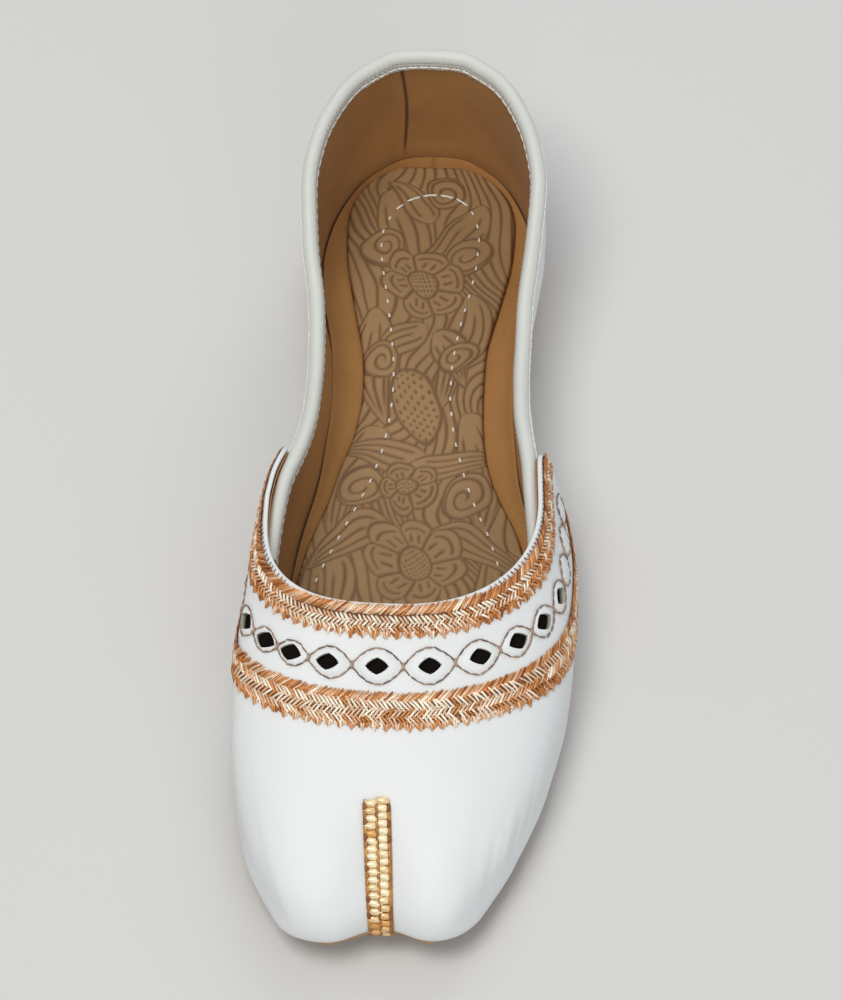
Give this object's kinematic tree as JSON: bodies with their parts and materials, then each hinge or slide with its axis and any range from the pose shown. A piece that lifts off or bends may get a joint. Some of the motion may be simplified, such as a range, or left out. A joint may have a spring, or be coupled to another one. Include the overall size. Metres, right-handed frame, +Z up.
{
  "type": "flat embroidered slip-on shoe",
  "caption": "Flat slip-on shoe with a notched toe, a short hollow vamp with embroidered bands and diamond cut-outs, an open throat and a bound collar.",
  "frame": {"origin": "bottom centre of the bounding box, on the floor the shoe stands on", "axes": "+Z up; the toe points along -Y and the heel along +Y; +X is the little-toe side of this left shoe"},
  "size_m": [0.0871, 0.2406, 0.0569],
  "materials": {
    "sole_resin": "matt resin sole",
    "lining_cloth": "tan brushed lining",
    "tooled_sock_leather": "brown tooled, matt",
    "white_leather": "white coated, satin",
    "white_leather_back": "white coated, satin",
    "binding_strip": "white folded strip, matt",
    "copper_thread": "metallic thread, glossy"
  },
  "bodies": {
    "root": {"outsole": "sole_resin", "heel_lift": "sole_resin", "insole_board": "lining_cloth", "sock_pad": "tooled_sock_leather", "vamp": "white_leather", "quarter": "white_leather_back", "collar_binding": "binding_strip", "embroidery_upper": "copper_thread", "embroidery_lower": "copper_thread", "toe_band": "copper_thread"}
  },
  "joints": []
}
